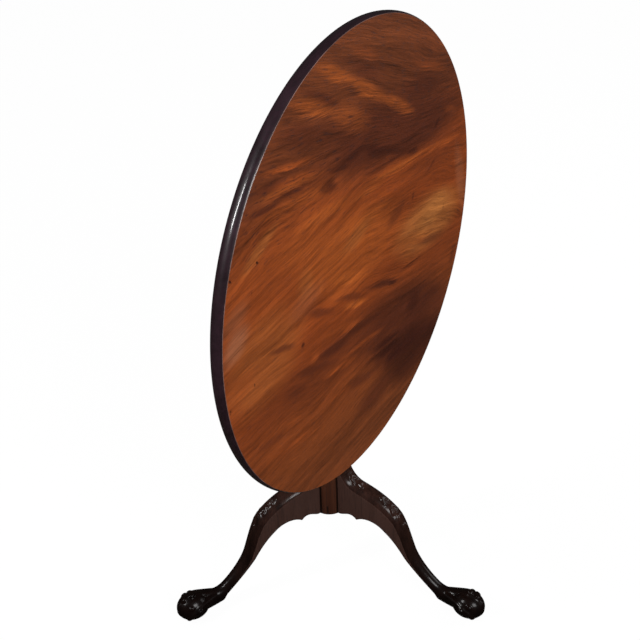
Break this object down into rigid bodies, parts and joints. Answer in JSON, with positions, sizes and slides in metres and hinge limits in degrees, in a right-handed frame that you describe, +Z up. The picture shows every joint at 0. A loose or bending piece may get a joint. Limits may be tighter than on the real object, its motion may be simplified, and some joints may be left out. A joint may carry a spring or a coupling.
{
  "type": "tilt-top tea table",
  "caption": "Tripod tea table with a round board that tips upright on a hinge block, cabriole legs with claw-and-ball feet and a spring catch.",
  "frame": {"origin": "on the floor, under the middle of the pillar", "axes": "+Z up; -Y out of the face of the board as it stands tipped up, over the front leg; +X along the hinge, to the right seen from the front"},
  "size_m": [0.7999, 0.5189, 1.11],
  "materials": {
    "board_mahogany": "waxed figured mahogany, red-brown with golden streaks",
    "dark_mahogany": "dark polished mahogany",
    "raw_mahogany": "unpolished aged mahogany",
    "brass": "aged brass",
    "iron": "blackened wrought iron",
    "steel": "spring steel"
  },
  "bodies": {
    "base": {"pillar": "dark_mahogany", "front_leg": "dark_mahogany", "left_leg": "dark_mahogany", "right_leg": "dark_mahogany", "strap_plate": "iron", "strap_nails": "iron", "hinge_block": "raw_mahogany", "tenon_wedge": "raw_mahogany", "keeper_plate": "brass", "keeper_screws": "brass"},
    "top": {"top_board": "board_mahogany", "left_batten": "raw_mahogany", "right_batten": "raw_mahogany", "batten_screws": "iron", "catch_case": "brass", "catch_screws": "brass", "catch_spring": "steel"},
    "bolt": {"catch_bolt": "brass"}
  },
  "joints": [
    {"name": "top_tilt", "type": "hinge", "parent": "base", "child": "top", "pos_m": [0, -0.046, 0.664], "axis": [-1, 0, 0], "range_deg": [0, 90]},
    {"name": "catch_slide", "type": "slide", "parent": "top", "child": "bolt", "axis": [0, 0, 1], "range_m": [0, 0.009], "stiffness_N_per_m": 400, "springref_m": -0.004, "deforming": ["catch_spring"]}
  ]
}
